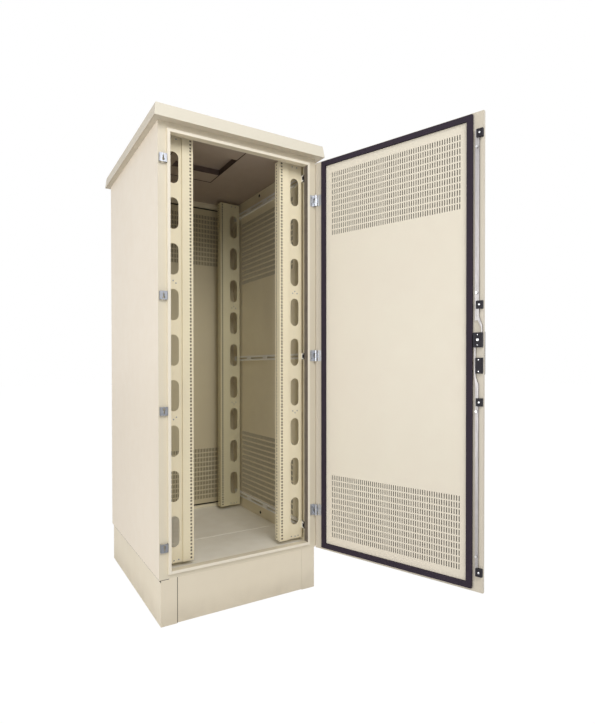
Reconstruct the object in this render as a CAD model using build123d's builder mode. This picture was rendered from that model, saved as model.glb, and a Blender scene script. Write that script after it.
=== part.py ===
from build123d import *
from math import atan2, cos, degrees, pi, radians, sin
import os

# Roadside utility cabinet with its front door open.
# X runs across the front, Y into the cabinet, Z up. The origin is on the ground,
# in the middle of the width, in the plane of the front frame. Lengths in millimetres.

# Whole cabinet
body_width = 800.0
body_depth = 900.0
plinth_height = 200.0
soffit_height = 2140.0
sheet = 2.0
cut_overrun = 5.0
seat_gap = 0.5

# Plinth
plinth_inset = 7.0
plinth_sheet = 3.0
plinth_return = 73.0
plinth_flange = 60.0
plinth_ground_gap = 3.0
plinth_panel_gap = 0.9
anchor_radius = 7.0
anchor_end_margin = 126.5
anchor_from_side = 32.0

# Front frame
jamb_width = 51.0
sill_band = 34.0
head_band = 41.0
lip_width = 13.0
lip_height = 11.5
jamb_return = 20.0

# Floor, ceiling and liners
floor_rise = 20.0
ceiling_drop = 6.0
liner_side_gap = 30.0
liner_sheet = 1.5
rear_air_gap = 20.0
rear_bottom_band = 24.0
rear_top_band = 38.0
rear_gap = 8.0
rear_rail_depth = 14.0

# Ceiling hatch with its fan box
hatch_left = -250.0
hatch_right = 65.0
hatch_front = 67.0
hatch_back = 535.0
hatch_corner_cut = 62.0
hatch_rim = 14.0
fan_box_left = -200.0
fan_box_front = 194.0
fan_box_back = 419.0
fan_box_height = 30.0

# Roof
roof_side_overhang = 27.0
roof_front_overhang = 46.0
roof_rim_drop = 2.0
roof_height = 55.0
roof_top_inset = 7.0
roof_soffit_width = 60.0

# Rack posts and the rails that carry them
post_width = 131.0
post_strip_width = 51.0
post_step = 6.0
post_inner_return = 45.0
post_outer_return = 36.0
post_foot_gap = 20.0
post_head_gap = 16.0
post_front_y = 50.0
post_rear_setback = 120.0
post_slot_width = 51.0
post_slot_length = 138.0
post_slot_pitch = 200.0
post_slot_inset = 40.0
post_slot_rise = 138.0
post_slot_end_sides = 16
rail_space = 14.0
rail_height = 29.0
rail_start_y = 40.0
rail_rear_setback = 40.0
rail_slot_length = 150.0
rail_slot_height = 9.0
rail_slot_count = 4
rail_foot_rise = 83.0
rail_head_drop = 81.0
rail_middle_share = 0.49

# Vent fields, each a group of upright slots
vent_rows = 3
vent_slot_fill_share = 0.8
vent_open_share = 0.2
door_vent_columns = 10
liner_vent_columns = 5
door_vent_margin = 23.5
door_vent_height = 312.0
door_vent_rise = 215.0
door_vent_drop = 217.0
rear_vent_margin = 54.5
rear_vent_rise = 180.0
rear_vent_drop = 200.0
liner_vent_front = 129.5
liner_vent_rear = 157.5
liner_vent_height = 385.0
liner_vent_rise = 292.0
liner_vent_drop = 322.0

# Door
door_open_angle = 110.4
hinge_axis_y = -14.0
hinge_inset = 8.0
door_side_lap = 4.0
door_foot_lap = 2.0
door_head_gap = 21.0
door_sheet = 1.5
door_flange_h = -8.0
door_depth = 18.0
door_flange_width = 70.0
door_edge_radius = 3.0
gasket_width = 24.0
gasket_margin = 41.0
gasket_foot_margin = 11.0
gasket_head_margin = 6.0
gasket_height = 10.0
gasket_corner = 4.0

# Hinges
hinge_foot_rise = 192.0
hinge_head_drop = 189.0
hinge_length = 54.0
hinge_middle_length = 19.0
hinge_gap = 0.5
barrel_radius = 6.0
pin_radius = 3.45
pin_running_gap = 0.05
frame_leaf_width = 26.0
frame_leaf_sheet = 3.0
leaf_tang = 4.0
door_leaf_end = 40.0
door_leaf_start = 16.0
door_leaf_sheet = 2.5

# Lock on the free edge of the door
spindle_height = 1210.0
spindle_radius = 4.0
rod_stroke = 16.0
rod_sheet = 3.0
rod_standoff = 3.0
rack_width = 4.5
rack_gap = 0.3
case_margin = 1.2
case_width = 34.6
case_wall = 1.8
case_height = 59.0
case_depth = 17.0
rod_inset = 16.0
upper_rod_width = 16.0
lower_rod_width = 12.0
upper_rod_end_gap = 71.0
upper_bend_rise = 56.0
upper_bend_length = 38.0
lower_bend_drop = 146.0
lower_bend_length = 30.0
lower_rod_end_gap = 64.0
rack_overlap = 20.0
guide_width = 25.0
guide_height = 32.0
guide_depth = 14.0
guide_margin = 1.0
guide_running_gap = 0.5
guide_foot_rise = 83.5
guide_head_drop = 89.0
guide_below_spindle = 248.5
guide_above_spindle = 140.0
back_block_width = 27.0
back_block_height = 63.0
back_block_drop = 102.5
escutcheon_width = 35.0
escutcheon_drop = 144.0
escutcheon_rise = 40.0
escutcheon_depth = 8.0
escutcheon_corner = 10.0
handle_length = 125.0
handle_hub_radius = 14.0
handle_tip_radius = 8.0
handle_depth = 10.0
handle_gap = 0.4

# Keeper pins on the rods and the strike plates that they enter
keeper_stem_radius = 2.5
keeper_head_radius = 4.5
keeper_head_sides = 6
keeper_stem_length = 6.5
keeper_head_length = 4.5
keeper_foot_rise = 147.0
keeper_head_drop = 143.0
keeper_below_spindle = 285.0
keeper_above_spindle = 188.0
strike_width = 32.0
strike_height = 36.0
strike_rise = 13.5
strike_stem_gap = 0.6
strike_head_gap = 1.2
strike_lip_gap = 2.0

# Sizes that follow from those above
half_width = body_width / 2
opening_width = body_width - jamb_width * 2
half_opening = opening_width / 2
shell_height = soffit_height - plinth_height
lip_half = half_opening + lip_width
plinth_half = half_width - plinth_inset
plinth_back = body_depth - plinth_inset
sill_height = plinth_height + sill_band
head_height = soffit_height - head_band
opening_height = head_height - sill_height
opening_mid = (head_height + sill_height) / 2
inside_half = half_width - sheet
inside_back = body_depth - sheet
inside_width = inside_half * 2
inside_depth = inside_back - sheet
inside_mid_y = (inside_back + sheet) / 2
floor_height = plinth_height + floor_rise
ceiling_height = soffit_height - ceiling_drop
liner_half_span = half_width - liner_side_gap
rear_liner_y = body_depth - rear_air_gap
rear_liner_bottom = floor_height + rear_bottom_band
rear_liner_top = ceiling_height - rear_top_band
door_bottom = plinth_height - door_foot_lap
door_top = soffit_height - door_head_gap
gasket_bottom = door_bottom + gasket_foot_margin
gasket_top = door_top - gasket_head_margin
door_width = body_width + door_side_lap * 2
hinge_axis_x = half_width + door_side_lap - hinge_inset
door_height = door_top - door_bottom
door_mid_z = (door_top + door_bottom) / 2
door_mid_s = door_width / 2
door_outer_h = door_flange_h - door_depth
gasket_outer_width = door_width - gasket_margin * 2
gasket_outer_height = gasket_top - gasket_bottom
gasket_mid_z = (gasket_top + gasket_bottom) / 2
rod_low_h = door_flange_h + rod_standoff
rod_top_h = rod_low_h + rod_sheet
pinion_radius = rod_stroke / (pi / 2)
spindle_s = door_width - case_margin - case_width / 2
rod_centre_s = door_width - rod_inset - upper_rod_width / 2
keeper_heights = {
    "bottom": door_bottom + keeper_foot_rise,
    "lower": spindle_height - keeper_below_spindle,
    "upper": spindle_height + keeper_above_spindle,
    "top": door_top - keeper_head_drop,
}

# The door is drawn in its own plane, turned open about the hinge axis: x runs from the
# hinged edge to the free edge, y is the height, and the normal points into the cabinet.
turn = radians(door_open_angle)
door_plane = Plane(
    origin=(hinge_axis_x + hinge_inset * cos(turn), hinge_axis_y + hinge_inset * sin(turn), 0),
    x_dir=(-cos(turn), -sin(turn), 0),
    z_dir=(-sin(turn), cos(turn), 0),
)
door_inward = Axis(door_plane.origin, door_plane.z_dir)
front_plane = Plane.XZ

os.makedirs("parts", exist_ok=True)


def keep(builder, name):
    """Label one finished piece and write it under its name."""
    builder.part.label = name
    export_step(builder.part, f"parts/{name}.step")


# Plinth sides, folded round the corners, with flanges for the ground and the body
for side_name, side in (("left", -1), ("right", 1)):
    with BuildPart() as plinth_side:
        with BuildSketch():
            with BuildLine():
                bends = Polyline(
                    (plinth_half - plinth_return, 0),
                    (plinth_half, 0),
                    (plinth_half, plinth_back),
                    (plinth_half - plinth_return, plinth_back),
                )
                offset(bends, amount=plinth_sheet, side=Side.LEFT, kind=Kind.INTERSECTION)
            make_face()
            if side < 0:
                mirror(about=Plane.YZ, mode=Mode.REPLACE)
        extrude(amount=plinth_height)
        flange_x = side * (plinth_half - plinth_flange / 2)
        for flange_bottom in (0, plinth_height - plinth_sheet):
            with BuildSketch(Plane.XY.offset(flange_bottom)):
                with Locations((flange_x, plinth_back / 2)):
                    Rectangle(plinth_flange, plinth_back)
            extrude(amount=plinth_sheet)
        with Locations((side * (plinth_half - anchor_from_side), plinth_back / 2, plinth_sheet)):
            with GridLocations(0, plinth_back - anchor_end_margin * 2, 1, 2):
                Hole(anchor_radius, depth=plinth_sheet)
    keep(plinth_side, f"plinth_{side_name}_side")

# Removable plinth panels, trays that close the front and the back between the sides
panel_width = (plinth_half - plinth_return - plinth_panel_gap) * 2
panel_height = plinth_height - plinth_ground_gap - seat_gap
for panel_name, outer_y, inward in (("front", 0, 1), ("rear", plinth_back, -1)):
    with BuildPart() as plinth_panel:
        with BuildSketch(front_plane.offset(-outer_y)):
            with Locations((0, plinth_ground_gap + panel_height / 2)):
                Rectangle(panel_width, panel_height)
        extrude(amount=-inward * plinth_flange / 2)
        inner_face = plinth_panel.faces().sort_by(Axis.Y)[-1 if inward > 0 else 0]
        offset(amount=-sheet, openings=inner_face)
    keep(plinth_panel, f"plinth_{panel_name}_panel")

# Outer shell, one sheet bent round the two sides and the back
with BuildPart() as outer_shell:
    with BuildSketch(Plane.XY.offset(plinth_height)):
        with BuildLine():
            bends = Polyline(
                (-half_width, sheet),
                (-half_width, body_depth),
                (half_width, body_depth),
                (half_width, sheet),
            )
            offset(bends, amount=sheet, side=Side.RIGHT, kind=Kind.INTERSECTION)
        make_face()
    extrude(amount=shell_height)
keep(outer_shell, "outer_shell")

# Front frame with the folded lip that the door's gasket closes on
with BuildPart() as front_frame:
    with BuildSketch(front_plane):
        with Locations((0, plinth_height + shell_height / 2)):
            Rectangle(body_width, shell_height)
        with Locations((0, opening_mid)):
            Rectangle(opening_width, opening_height, mode=Mode.SUBTRACT)
    extrude(amount=-sheet)
    with BuildSketch(front_plane):
        with Locations((0, opening_mid)):
            Rectangle(lip_half * 2, opening_height + lip_width * 2)
            Rectangle(opening_width, opening_height, mode=Mode.SUBTRACT)
    extrude(amount=lip_height)
    with BuildSketch(front_plane.offset(-sheet)):
        with Locations((0, opening_mid)):
            Rectangle((lip_half - sheet) * 2, opening_height + (lip_width - sheet) * 2)
            Rectangle(opening_width + sheet * 2, opening_height + sheet * 2, mode=Mode.SUBTRACT)
    extrude(amount=lip_height, mode=Mode.SUBTRACT)
    with BuildSketch(front_plane):
        with Locations((0, opening_mid)):
            Rectangle(opening_width + sheet * 2, opening_height + sheet * 2)
            Rectangle(opening_width, opening_height, mode=Mode.SUBTRACT)
    extrude(amount=-jamb_return)
keep(front_frame, "front_frame")

# Floor pan, an upturned tray on the plinth's flanges, set back behind the sill's fold
floor_front = jamb_return + seat_gap
floor_depth = inside_back - seat_gap - floor_front
with BuildPart() as floor_pan:
    with BuildSketch(Plane.XY.offset(plinth_height)):
        with Locations((0, floor_front + floor_depth / 2)):
            Rectangle(inside_width - seat_gap * 2, floor_depth)
    extrude(amount=floor_height - plinth_height)
    offset(amount=-sheet, openings=floor_pan.faces().sort_by(Axis.Z)[0])
keep(floor_pan, "floor_pan")

# Ceiling panel with the hatch opening
with BuildPart() as ceiling_panel:
    with BuildSketch(Plane.XY.offset(ceiling_height)):
        with Locations((0, inside_mid_y)):
            Rectangle(inside_width - seat_gap * 2, inside_depth - seat_gap * 2)
        with BuildLine():
            Polyline(
                (hatch_left + hatch_corner_cut, hatch_front),
                (hatch_right, hatch_front),
                (hatch_right, hatch_back),
                (hatch_left + hatch_corner_cut, hatch_back),
                (hatch_left, hatch_back - hatch_corner_cut),
                (hatch_left, hatch_front + hatch_corner_cut),
                close=True,
            )
        make_face(mode=Mode.SUBTRACT)
    extrude(amount=sheet)
keep(ceiling_panel, "ceiling_panel")

# Hatch cover that lies on the ceiling panel, with a raised box for a fan
hatch_width = hatch_right - hatch_left + hatch_rim * 2
hatch_depth = hatch_back - hatch_front + hatch_rim * 2
fan_box_width = hatch_right - fan_box_left
fan_box_depth = fan_box_back - fan_box_front
fan_box_centre = ((hatch_right + fan_box_left) / 2, (fan_box_back + fan_box_front) / 2)
hatch_top = ceiling_height + sheet
with BuildPart() as ceiling_hatch:
    with BuildSketch(Plane.XY.offset(hatch_top)):
        with Locations(((hatch_right + hatch_left) / 2, (hatch_back + hatch_front) / 2)):
            Rectangle(hatch_width, hatch_depth)
    extrude(amount=sheet)
    with BuildSketch(Plane.XY.offset(hatch_top)):
        with Locations(fan_box_centre):
            Rectangle(fan_box_width + sheet * 2, fan_box_depth + sheet * 2)
    extrude(amount=fan_box_height + sheet)
    with BuildSketch(Plane.XY.offset(hatch_top)):
        with Locations(fan_box_centre):
            Rectangle(fan_box_width, fan_box_depth)
    extrude(amount=fan_box_height, mode=Mode.SUBTRACT)
keep(ceiling_hatch, "ceiling_hatch")

# Roof, a tapered cap with a turned-in soffit that lies on the walls
roof_width = body_width + roof_side_overhang * 2
roof_depth = body_depth + roof_front_overhang + roof_side_overhang
roof_mid_y = (body_depth + roof_side_overhang - roof_front_overhang) / 2
roof_taper = degrees(atan2(roof_top_inset, roof_height))
with BuildPart() as roof_cap:
    with BuildSketch(Plane.XY.offset(soffit_height - roof_rim_drop)):
        with Locations((0, roof_mid_y)):
            Rectangle(roof_width, roof_depth)
    extrude(amount=roof_height, taper=roof_taper)
    with BuildSketch(Plane.XY.offset(soffit_height + sheet)):
        with Locations((0, roof_mid_y)):
            Rectangle(roof_width - (sheet + roof_top_inset) * 2, roof_depth - (sheet + roof_top_inset) * 2)
    extrude(amount=roof_height - roof_rim_drop - sheet * 2, mode=Mode.SUBTRACT)
    with BuildSketch(Plane.XY.offset(soffit_height - roof_rim_drop)):
        with Locations((0, roof_mid_y)):
            Rectangle(roof_width - sheet * 2, roof_depth - sheet * 2)
    extrude(amount=roof_rim_drop, mode=Mode.SUBTRACT)
    with BuildSketch(Plane.XY.offset(soffit_height)):
        with Locations((0, body_depth / 2)):
            Rectangle(body_width - roof_soffit_width, body_depth - roof_soffit_width)
    extrude(amount=sheet, mode=Mode.SUBTRACT)
keep(roof_cap, "roof_cap")


def vent_field(centre, field_width, field_height, columns):
    """Cut one field of upright slots into the sheet of the builder that is open."""
    pitch_across = field_width / columns
    pitch_up = field_height / vent_rows
    with Locations(centre):
        with GridLocations(pitch_across, pitch_up, columns, vent_rows):
            Rectangle(
                pitch_across * vent_open_share,
                pitch_up * vent_slot_fill_share,
                mode=Mode.SUBTRACT,
            )


# Inner liners with vents, on the two sides and at the back
liner_bottom = floor_height + seat_gap
liner_top = ceiling_height - seat_gap
liner_mid_z = (liner_bottom + liner_top) / 2
liner_front = jamb_return + seat_gap
liner_back = inside_back - seat_gap
liner_vent_width = liner_back - liner_front - liner_vent_front - liner_vent_rear
liner_vent_y = liner_front + liner_vent_front + liner_vent_width / 2
liner_vent_centres = (floor_height + liner_vent_rise, ceiling_height - liner_vent_drop)
for side_name, side in (("left", -1), ("right", 1)):
    with BuildPart() as side_liner:
        with BuildSketch(Plane.YZ.offset(side * liner_half_span)):
            with Locations(((liner_front + liner_back) / 2, liner_mid_z)):
                Rectangle(liner_back - liner_front, liner_top - liner_bottom)
            for centre_z in liner_vent_centres:
                vent_field((liner_vent_y, centre_z), liner_vent_width, liner_vent_height, liner_vent_columns)
        extrude(amount=side * liner_sheet)
    keep(side_liner, f"{side_name}_liner")

rear_width = (liner_half_span - seat_gap) * 2
rear_vent_width = rear_width - rear_vent_margin * 2
rear_vent_centres = (rear_liner_bottom + rear_vent_rise, rear_liner_top - rear_vent_drop)
with BuildPart() as rear_liner:
    with BuildSketch(front_plane.offset(-rear_liner_y)):
        with Locations((0, (rear_liner_top + rear_liner_bottom) / 2)):
            Rectangle(rear_width, rear_liner_top - rear_liner_bottom)
        for centre_z in rear_vent_centres:
            vent_field((0, centre_z), rear_vent_width, door_vent_height, door_vent_columns)
    extrude(amount=-liner_sheet)
keep(rear_liner, "rear_liner")

# Rails above and below the rear liner, bent angles between the side liners
rear_rails = {
    "header": (rear_liner_top + rear_gap, liner_top),
    "footer": (liner_bottom, rear_liner_bottom - rear_gap),
}
for rail_name, (rail_bottom, rail_top) in rear_rails.items():
    with BuildPart() as rear_rail:
        with BuildSketch(front_plane.offset(-rear_liner_y + rear_rail_depth)):
            with Locations((0, (rail_top + rail_bottom) / 2)):
                Rectangle(rear_width, rail_top - rail_bottom)
        extrude(amount=-rear_rail_depth - liner_sheet)
        offset(amount=-liner_sheet, openings=rear_rail.faces().sort_by(Axis.Y)[-1])
    keep(rear_rail, f"rear_{rail_name}_rail")

# Rack posts, each one sheet with a hole strip, a step and a slotted face
post_outer = liner_half_span - rail_space
post_inner = post_outer - post_width
post_step_at = post_inner + post_strip_width
post_bottom = floor_height + post_foot_gap
post_top = ceiling_height - post_head_gap
post_rear_y = rear_liner_y - post_rear_setback
post_slot_run = post_top - post_bottom - post_slot_rise - post_slot_length
post_slot_count = int(post_slot_run / post_slot_pitch) + 1
post_slot_x = post_outer - post_slot_inset
slots_mid_z = post_bottom + post_slot_rise + post_slot_pitch * (post_slot_count - 1) / 2
slot_end_half = (post_slot_length - post_slot_width) / 2
slot_end_turn = 180 / post_slot_end_sides
for side_name, side in (("left", -1), ("right", 1)):
    for row_name, post_y in (("front", post_front_y), ("rear", post_rear_y)):
        with BuildPart() as post:
            with BuildSketch(Plane.XY.offset(post_bottom)):
                with BuildLine():
                    bends = Polyline(
                        (post_inner, post_y + post_inner_return),
                        (post_inner, post_y),
                        (post_step_at, post_y),
                        (post_step_at, post_y + post_step),
                        (post_outer, post_y + post_step),
                        (post_outer, post_y + post_outer_return),
                    )
                    offset(bends, amount=sheet, side=Side.LEFT, kind=Kind.INTERSECTION)
                make_face()
                if side < 0:
                    mirror(about=Plane.YZ, mode=Mode.REPLACE)
            extrude(amount=post_top - post_bottom)
            with BuildSketch(front_plane.offset(cut_overrun - post_y - post_step)):
                with Locations((side * post_slot_x, slots_mid_z)):
                    with GridLocations(0, post_slot_pitch, 1, post_slot_count):
                        Rectangle(post_slot_width, slot_end_half * 2)
                        with GridLocations(0, slot_end_half * 2, 1, 2):
                            RegularPolygon(
                                post_slot_width / 2,
                                post_slot_end_sides,
                                major_radius=False,
                                rotation=slot_end_turn,
                            )
            extrude(amount=-cut_overrun * 2, mode=Mode.SUBTRACT)
        keep(post, f"{row_name}_{side_name}_post")

# Slotted rails along the side liners, which carry the posts
rail_depth = rail_space - seat_gap
rail_end_y = rear_liner_y - rail_rear_setback
rail_length = rail_end_y - rail_start_y
rail_mid_y = (rail_end_y + rail_start_y) / 2
rail_heights = {
    "bottom": floor_height + rail_foot_rise,
    "middle": floor_height + (ceiling_height - floor_height) * rail_middle_share,
    "top": ceiling_height - rail_head_drop,
}
for side_name, side in (("left", -1), ("right", 1)):
    for level_name, level_z in rail_heights.items():
        with BuildPart() as rail:
            with BuildSketch(Plane.YZ.offset(side * post_outer)):
                with Locations((rail_mid_y, level_z)):
                    Rectangle(rail_length, rail_height)
            extrude(amount=side * rail_depth)
            back_face = rail.faces().sort_by(Axis.X)[-1 if side > 0 else 0]
            offset(amount=-sheet, openings=back_face)
            with BuildSketch(Plane.YZ.offset(side * post_outer)):
                with Locations((rail_mid_y, level_z)):
                    with GridLocations(rail_length / rail_slot_count, 0, rail_slot_count, 1):
                        Rectangle(rail_slot_length, rail_slot_height)
            extrude(amount=side * sheet, mode=Mode.SUBTRACT)
        keep(rail, f"{side_name}_{level_name}_rail")

# Strike plates on the left jamb, raised plates with a keyhole for the keeper pins
strike_mid_x = -lip_half - strike_lip_gap - strike_width / 2
keeper_x = half_width + door_side_lap - rod_centre_s
for level_name, keeper_z in keeper_heights.items():
    lock_way = 1 if level_name in ("top", "upper") else -1
    strike_z = keeper_z + lock_way * rod_stroke / 2
    with BuildPart() as strike:
        with BuildSketch(front_plane):
            with Locations((strike_mid_x, strike_z)):
                Rectangle(strike_width, strike_height)
        extrude(amount=strike_rise)
        with BuildSketch(front_plane):
            with Locations((strike_mid_x, strike_z)):
                Rectangle(strike_width - sheet * 2, strike_height)
        extrude(amount=strike_rise - sheet, mode=Mode.SUBTRACT)
        with BuildSketch(front_plane.offset(strike_rise - sheet)):
            with Locations((keeper_x, keeper_z)):
                Circle(keeper_head_radius + strike_head_gap)
            with Locations((keeper_x, strike_z)):
                SlotCenterToCenter(
                    rod_stroke, (keeper_stem_radius + strike_stem_gap) * 2, rotation=90
                )
        extrude(amount=sheet, mode=Mode.SUBTRACT)
    keep(strike, f"strike_{level_name}")

# Hinges: a leaf with two knuckles on the frame, a pin, and a leaf with one on the door
bore_radius = pin_radius + pin_running_gap
leaf_edge_x = hinge_axis_x - leaf_tang
hinge_heights = {
    "bottom": door_bottom + hinge_foot_rise,
    "middle": (door_bottom + hinge_foot_rise + door_top - hinge_head_drop) / 2,
    "top": door_top - hinge_head_drop,
}
for level_name, level_z in hinge_heights.items():
    hinge_bottom = level_z - hinge_length / 2
    middle_bottom = level_z - hinge_middle_length / 2
    knuckle_length = (hinge_length - hinge_middle_length) / 2 - hinge_gap
    with BuildPart() as frame_leaf:
        with BuildSketch(Plane.XY.offset(hinge_bottom)):
            with Locations((leaf_edge_x - frame_leaf_width / 2, -frame_leaf_sheet / 2)):
                Rectangle(frame_leaf_width, frame_leaf_sheet)
        extrude(amount=hinge_length)
        for knuckle_bottom in (hinge_bottom, hinge_bottom + hinge_length - knuckle_length):
            with BuildSketch(Plane.XY.offset(knuckle_bottom)):
                with Locations((hinge_axis_x, hinge_axis_y)):
                    Circle(barrel_radius)
                with Locations((leaf_edge_x - leaf_tang / 2, hinge_axis_y / 2)):
                    Rectangle(leaf_tang, -hinge_axis_y)
                with Locations((leaf_edge_x, hinge_axis_y)):
                    Rectangle(leaf_tang * 2, leaf_tang)
                with Locations((hinge_axis_x, hinge_axis_y)):
                    Circle(bore_radius, mode=Mode.SUBTRACT)
            extrude(amount=knuckle_length)
    keep(frame_leaf, f"hinge_{level_name}_frame_leaf")

    with BuildPart() as hinge_pin:
        with BuildSketch(Plane.XY.offset(hinge_bottom)):
            with Locations((hinge_axis_x, hinge_axis_y)):
                Circle(pin_radius)
        extrude(amount=hinge_length)
    keep(hinge_pin, f"hinge_{level_name}_pin")

    with BuildPart() as door_leaf:
        with BuildSketch(door_plane.offset(door_flange_h)):
            with Locations(((door_leaf_start + door_leaf_end) / 2, level_z)):
                Rectangle(door_leaf_end - door_leaf_start, hinge_length)
            with Locations(((door_leaf_start + hinge_inset) / 2, level_z)):
                Rectangle(door_leaf_start - hinge_inset, hinge_middle_length)
        extrude(amount=door_leaf_sheet)
        with BuildSketch(Plane.XY.offset(middle_bottom)):
            with Locations((hinge_axis_x, hinge_axis_y)):
                Circle(barrel_radius)
        extrude(amount=hinge_middle_length)
        with BuildSketch(Plane.XY.offset(middle_bottom)):
            with Locations((hinge_axis_x, hinge_axis_y)):
                Circle(bore_radius)
        extrude(amount=hinge_middle_length, mode=Mode.SUBTRACT)
    keep(door_leaf, f"hinge_{level_name}_door_leaf")

# Door skin, a tray whose edges turn back into a flange all round
spindle_bore = spindle_radius + pin_running_gap
with BuildPart() as door_skin:
    with BuildSketch(door_plane.offset(door_outer_h)):
        with Locations((door_mid_s, door_mid_z)):
            Rectangle(door_width, door_height)
    extrude(amount=door_depth)
    fillet(door_skin.faces().sort_by(door_inward)[0].edges(), door_edge_radius)
    with BuildSketch(door_plane.offset(door_outer_h + door_sheet)):
        with Locations((door_mid_s, door_mid_z)):
            Rectangle(door_width - door_edge_radius * 2, door_height - door_edge_radius * 2)
    extrude(amount=door_depth - door_sheet * 2, mode=Mode.SUBTRACT)
    with BuildSketch(door_plane.offset(door_flange_h - door_sheet)):
        with Locations((door_mid_s, door_mid_z)):
            Rectangle(door_width - door_flange_width * 2, door_height - door_flange_width * 2)
    extrude(amount=door_sheet, mode=Mode.SUBTRACT)
    with BuildSketch(door_plane.offset(door_outer_h)):
        with Locations((spindle_s, spindle_height)):
            Circle(spindle_bore)
    extrude(amount=door_depth, mode=Mode.SUBTRACT)
keep(door_skin, "door_skin")

# Vented inner panel, which lies on the flange inside the gasket
panel_s_width = gasket_outer_width - (gasket_width + seat_gap) * 2
panel_z_height = gasket_outer_height - (gasket_width + seat_gap) * 2
door_vent_width = panel_s_width - door_vent_margin * 2
with BuildPart() as door_inner_panel:
    with BuildSketch(door_plane.offset(door_flange_h)):
        with Locations((door_mid_s, gasket_mid_z)):
            Rectangle(panel_s_width, panel_z_height)
        for centre_z in (gasket_bottom + door_vent_rise, gasket_top - door_vent_drop):
            vent_field((door_mid_s, centre_z), door_vent_width, door_vent_height, door_vent_columns)
    extrude(amount=door_sheet)
keep(door_inner_panel, "door_inner_panel")

# Rubber gasket round the door
with BuildPart() as door_gasket:
    with BuildSketch(door_plane.offset(door_flange_h)):
        with Locations((door_mid_s, gasket_mid_z)):
            RectangleRounded(gasket_outer_width, gasket_outer_height, gasket_corner)
            Rectangle(
                gasket_outer_width - gasket_width * 2,
                gasket_outer_height - gasket_width * 2,
                mode=Mode.SUBTRACT,
            )
    extrude(amount=gasket_height)
keep(door_gasket, "door_gasket")

# Gear case over the ends of the two lock rods
upper_rack_s = spindle_s + pinion_radius + rack_gap + rack_width / 2
lower_rack_s = spindle_s - pinion_radius - rack_gap - rack_width / 2
cavity_width = case_width - case_wall * 2
with BuildPart() as lock_case:
    with BuildSketch(door_plane.offset(door_flange_h)):
        with Locations((spindle_s, spindle_height)):
            Rectangle(case_width, case_height)
    extrude(amount=case_depth)
    with BuildSketch(door_plane.offset(door_flange_h)):
        with Locations((spindle_s, spindle_height)):
            Rectangle(cavity_width, case_height - case_wall * 2)
    extrude(amount=case_depth - case_wall, mode=Mode.SUBTRACT)
    slot_width = rack_width + rack_gap * 2
    for rack_s, end_z in (
        (upper_rack_s, spindle_height + case_height / 2),
        (lower_rack_s, spindle_height - case_height / 2),
    ):
        with BuildSketch(door_plane.offset(rod_low_h - rack_gap)):
            with Locations((rack_s, end_z)):
                Rectangle(slot_width, case_wall * 2)
        extrude(amount=rod_sheet + rack_gap * 2, mode=Mode.SUBTRACT)
    with BuildSketch(door_plane.offset(door_flange_h)):
        with Locations((spindle_s, spindle_height)):
            Circle(spindle_bore)
    extrude(amount=case_depth, mode=Mode.SUBTRACT)
keep(lock_case, "lock_case")

# Block behind the handle's lower fixing
block_s = door_width - guide_margin - back_block_width / 2
back_block_z = spindle_height - back_block_drop
with BuildPart() as handle_back_block:
    with BuildSketch(door_plane.offset(door_flange_h)):
        with Locations((block_s, back_block_z)):
            Rectangle(back_block_width, back_block_height)
    extrude(amount=case_depth)
    chamfer(handle_back_block.faces().sort_by(door_inward)[-1].edges(), case_wall)
keep(handle_back_block, "handle_back_block")

# Guides that hold the lock rods against the door
guide_s = door_width - guide_margin - guide_width / 2
rod_edge_s = rod_centre_s + upper_rod_width / 2
guide_heights = {
    "bottom": door_bottom + guide_foot_rise,
    "lower": spindle_height - guide_below_spindle,
    "upper": spindle_height + guide_above_spindle,
    "top": door_top - guide_head_drop,
}
for level_name, level_z in guide_heights.items():
    with BuildPart() as guide:
        with BuildSketch(door_plane.offset(door_flange_h)):
            with Locations((guide_s, level_z)):
                Rectangle(guide_width, guide_height)
        extrude(amount=guide_depth)
        notch_start = guide_s - guide_width / 2
        notch_width = rod_edge_s + guide_running_gap - notch_start
        with BuildSketch(door_plane.offset(rod_low_h - guide_running_gap)):
            with Locations((notch_start + notch_width / 2, level_z)):
                Rectangle(notch_width, guide_height)
        extrude(amount=rod_sheet + guide_running_gap * 2, mode=Mode.SUBTRACT)
    keep(guide, f"rod_guide_{level_name}")

# Lock rods, flat bars that narrow to a rack beside the pinion
upper_low_s = rod_centre_s - upper_rod_width / 2
upper_high_s = rod_centre_s + upper_rod_width / 2
rack_half = rack_width / 2
rod_bend_width = upper_rod_width - rack_width
upper_rod_top = door_top - upper_rod_end_gap
upper_bend_bottom = spindle_height + upper_bend_rise
upper_bend_top = upper_bend_bottom + upper_bend_length
with BuildPart() as upper_rod:
    with BuildSketch(door_plane.offset(rod_low_h)):
        with BuildLine():
            Polyline(
                (upper_low_s, upper_rod_top),
                (upper_high_s, upper_rod_top),
                (upper_high_s, upper_bend_top),
                (upper_rack_s + rack_half, upper_bend_bottom),
                (upper_rack_s + rack_half, spindle_height - rack_overlap),
                (upper_rack_s - rack_half, spindle_height - rack_overlap),
                (upper_rack_s - rack_half, upper_bend_bottom - rack_width),
                (upper_low_s + rod_bend_width, upper_bend_top - upper_rod_width),
                (upper_low_s, upper_bend_top - upper_rod_width),
                close=True,
            )
        make_face()
    extrude(amount=rod_sheet)
keep(upper_rod, "upper_rod")

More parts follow.
